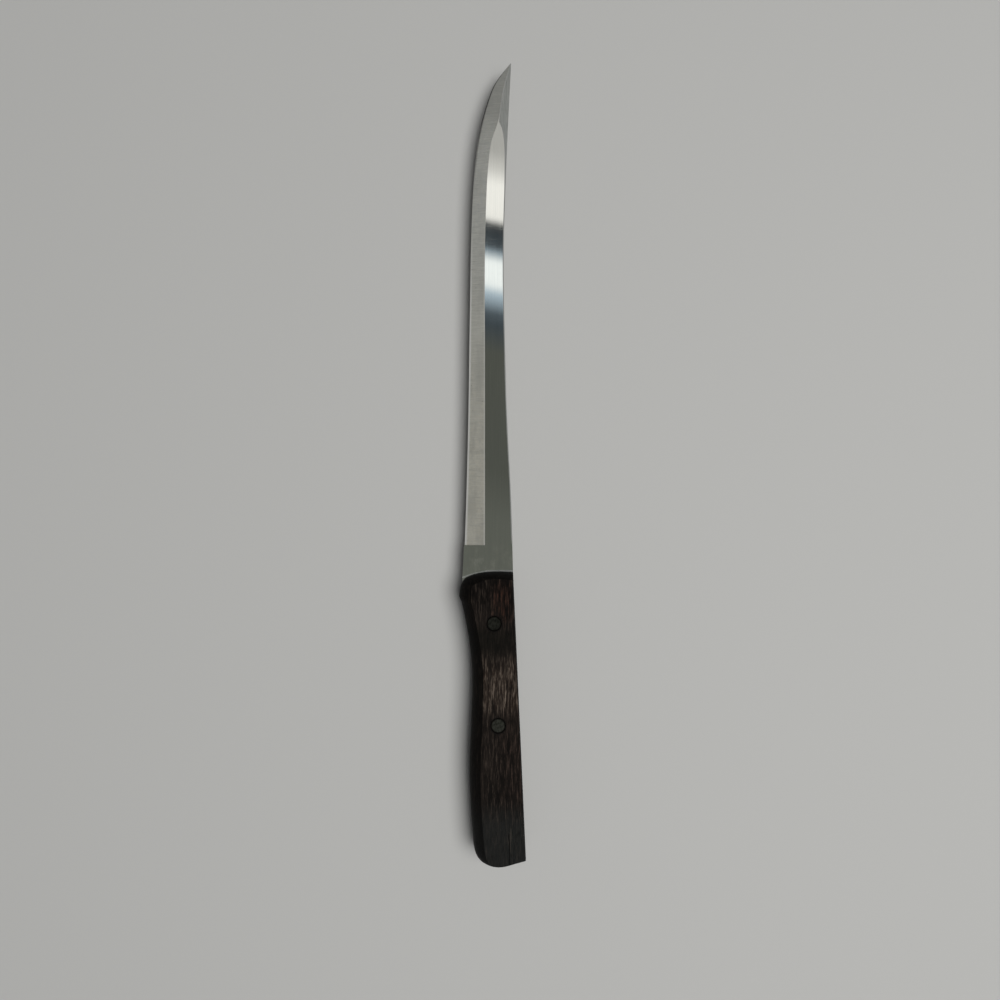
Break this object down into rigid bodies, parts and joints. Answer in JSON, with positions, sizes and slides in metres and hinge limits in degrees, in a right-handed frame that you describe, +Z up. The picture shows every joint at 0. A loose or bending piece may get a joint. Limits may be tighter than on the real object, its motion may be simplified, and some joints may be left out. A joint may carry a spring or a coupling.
{
  "type": "carving knife",
  "caption": "Carving knife with a long slim pointed blade, a ground edge bevel, and a full tang between dark wooden scales held by flush rivets.",
  "frame": {"origin": "under the middle of the knife's bounding box, on the surface that it lies on", "axes": "+X along the length towards the tip, +Y across towards the cutting edge, +Z up, out of the left side of the knife; it lies flat on its right scale"},
  "size_m": [0.3176, 0.0264, 0.016],
  "materials": {
    "blade_steel": "satin",
    "scale_wood": "satin",
    "rivet_metal": "matte"
  },
  "bodies": {
    "root": {"blade": "blade_steel", "left_scale": "scale_wood", "right_scale": "scale_wood", "front_rivet_tube": "rivet_metal", "front_rivet_pin": "rivet_metal", "rear_rivet_tube": "rivet_metal", "rear_rivet_pin": "rivet_metal"}
  },
  "joints": []
}
